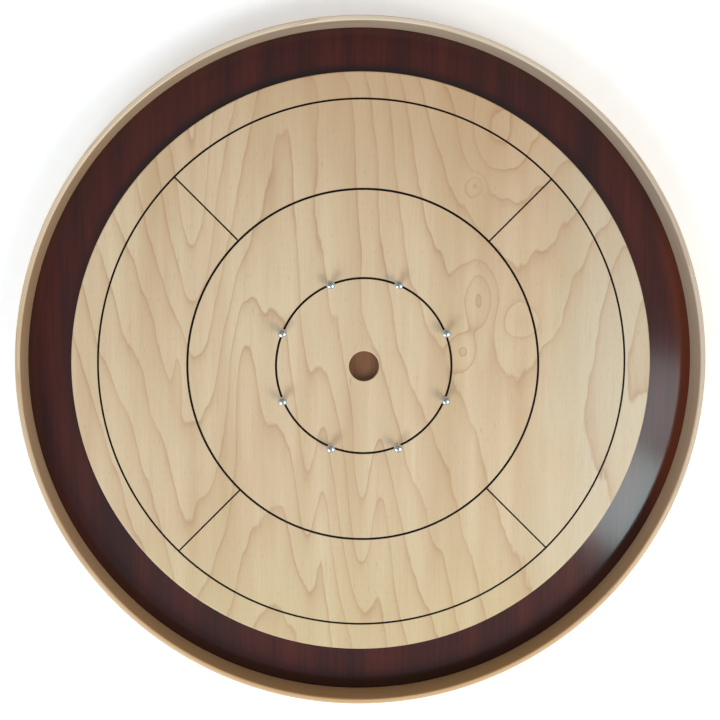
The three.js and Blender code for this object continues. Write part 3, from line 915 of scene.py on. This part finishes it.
def pan_head_profile():
    head, shank, thick, length, point = 4.2 * MM, 1.9 * MM, 2.0 * MM, 11.5 * MM, 3.5 * MM
    return [
        (0, 0),
        (0.62 * head, 0.02 * MM),
        (0.8 * head, 0.12 * MM),
        (0.93 * head, 0.45 * MM),
        (head, 1.0 * MM),
        (head, thick),
        (shank, thick),
        (shank, length - point),
        (0, length),
    ]


def foot_profile():
    bore, counterbore, deep, high = 2.4 * MM, 5.4 * MM, 2.8 * MM, BASE_BOTTOM
    sole, top, soft = 11.5 * MM, 14 * MM, 1 * MM
    return [
        (counterbore + 0.2 * MM, 0),
        (sole - soft - 0.5 * MM, 0),
        *arc_points((sole - soft, soft), soft, -90, -18, 5),
        (top - 0.35 * MM, high - 0.6 * MM),
        (top, high),
        (bore, high),
        (bore, deep),
        (counterbore, deep),
        (counterbore, 0.2 * MM),
    ]


def feet(rubber, zinc):
    for foot, screw in zip(node_names("foot", 6), node_names("foot_screw", 6)):
        spot = middle(foot)
        bumper = placed(turned(foot + "_bumper", foot_profile(), SMALL_STEPS, closed=True), spot.x, spot.y, 0)
        finished(bumper, [foot], rubber)
        pan = with_recess(turned(screw + "_pan_head", pan_head_profile(), 40), 4.6 * MM)
        placed(pan, spot.x, spot.y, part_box(screw)[0].z, turn=stopping_turn(spot.y, 53))
        finished(pan, [screw], zinc)


def rail_nails(zinc):
    height = middle("rail_nail_1").z
    for name, angle in zip(node_names("rail_nail", 12), around(12, 15)):
        nail = turned(name + "_brad", nail_profile(), 24)
        placed(nail, *polar(NAIL_CIRCLE, angle, height), turn=angle, tilt=-math.pi / 2)
        finished(nail, [name], zinc)


# ---------------------------------------------------------------- stage


def camera():
    """A camera above the board, a little to the left of its middle and beyond it, as in the photograph."""
    data = bpy.data.cameras.new("camera")
    data.sensor_width = 36
    data.lens = LENS
    data.clip_start = 0.01
    eye = bpy.data.objects.new("camera", data)
    eye.location = EYE
    lean = Vector(LEAN)
    eye.rotation_mode = "QUATERNION"
    eye.rotation_quaternion = Quaternion(lean.normalized(), lean.length)
    bpy.context.scene.collection.objects.link(eye)
    bpy.context.scene.camera = eye


def area_light(name, azimuth, elevation, distance, size, power, tint):
    """A square soft light that faces the board. Azimuth 0 is on the +X side, and 90 on the +Y side."""
    data = bpy.data.lights.new(name, "AREA")
    data.shape = "SQUARE"
    data.size = size
    data.energy = power
    data.color = tint
    lamp = bpy.data.objects.new(name, data)
    turn, rise = math.radians(azimuth), math.radians(elevation)
    away = Vector((math.cos(turn) * math.cos(rise), math.sin(turn) * math.cos(rise), math.sin(rise)))
    lamp.location = away * distance
    lamp.rotation_mode = "QUATERNION"
    lamp.rotation_quaternion = away.to_track_quat("Z", "Y")
    bpy.context.scene.collection.objects.link(lamp)


def ceiling_panel(name, left, right, near, far, glow, tint):
    """A wide, dim rectangle of light overhead, whose reflection lies on the varnish."""
    data = bpy.data.lights.new(name, "AREA")
    data.shape = "RECTANGLE"
    data.size, data.size_y = right - left, far - near
    data.energy = glow * data.size * data.size_y * math.pi
    data.color = tint
    panel = bpy.data.objects.new(name, data)
    panel.location = ((left + right) / 2, (near + far) / 2, CEILING_HEIGHT)
    bpy.context.scene.collection.objects.link(panel)


def surroundings():
    """A room with pale cool walls on the near side, warmer dim ones on the far side, and a dimmer ceiling."""
    world = bpy.data.worlds.new("room")
    world.use_nodes = True
    nodes = Nodes(world.node_tree)
    _, y, z = nodes.parts(nodes.node("TexCoord", {}, output="Generated"))
    walls = nodes.mix(nodes.remap(y, -0.6, 0.6), (0.60, 0.70, 0.82, 1), (0.46, 0.40, 0.33, 1))
    glow = nodes.mix(nodes.remap(z, 0.05, 0.35), (0.72, 0.72, 0.73, 1), walls)
    strength = nodes.remap(z, 0.74, 0.93, 1.0, 0.22)
    out = nodes.tree.nodes.new("ShaderNodeOutputWorld")
    nodes.feed(out.inputs["Surface"], nodes.node("Background", {"Color": glow, "Strength": strength}))
    bpy.context.scene.world = world


def floor():
    bm = bmesh.new()
    bmesh.ops.create_grid(bm, x_segments=2, y_segments=2, size=FLOOR_REACH)
    ground = as_object("floor", bm)
    graph = Graph("pale_floor", IOR=1.4, Emission_Strength=0.35)
    speck = graph.noise(graph.stretched(graph.place(), (40, 40, 40)), detail=3.0)
    tone = graph.mix(graph.remap(speck, 0.3, 0.7), colour(250, 250, 249), colour(247, 247, 246))
    ground.data.materials.append(graph.finish(Base_Color=tone, Roughness=0.9, Emission_Color=tone))


def stage():
    """The camera, the room and the lights. The two windows and the ceilings are what the varnish mirrors."""
    camera()
    surroundings()
    floor()
    area_light("warm_key", -38, 47, 3.0, 1.05, 27.2, (1.0, 0.87, 0.70))
    area_light("cool_side", 234, 44, 3.0, 1.2, 36, (0.84, 0.95, 1.0))
    area_light("window", -32, 59.7, 1.98, 0.28, 1.7, (0.80, 0.98, 1.0))
    area_light("side_window", -14.6, 60.5, 1.96, 0.24, 0.55, (0.88, 0.96, 1.0))
    ceiling_panel("ceiling", -1.12, 1.45, -1.6, 1.04, 0.25, (0.88, 0.93, 1.0))
    ceiling_panel("far_ceiling", -0.85, 0.85, 0.5, 1.3, 0.08, (0.60, 0.75, 1.0))
    ceiling_panel("near_ceiling", -0.9, 1.45, -1.6, -0.7, 0.45, (0.95, 0.97, 1.0))
    bpy.context.scene.view_settings.view_transform = "Standard"


def build():
    veneer = maple_veneer()
    veneer_low = SURFACE_TOP - VENEER_THICKNESS
    edge = ply_edge("surface_ply_edge", BASE_TOP, veneer_low, 7, (214, 184, 146), (170, 128, 92))
    playing_surface(veneer, edge)
    stain = stained_top("dark_stain", (48, 6, 2), (80, 23, 8), (32, 3, 1))
    hole_floor = stained_top("light_stain", (134, 92, 60), (122, 81, 50), (98, 60, 34))
    base_board(stain, hole_floor, clear_birch())
    rail_hoop(rail_maple())
    lines(line_lacquer())
    pegs(polished_nickel())
    zinc = zinc_steel()
    surface_screws(zinc)
    feet(foot_rubber(), zinc)
    rail_nails(zinc)


stage()
build()
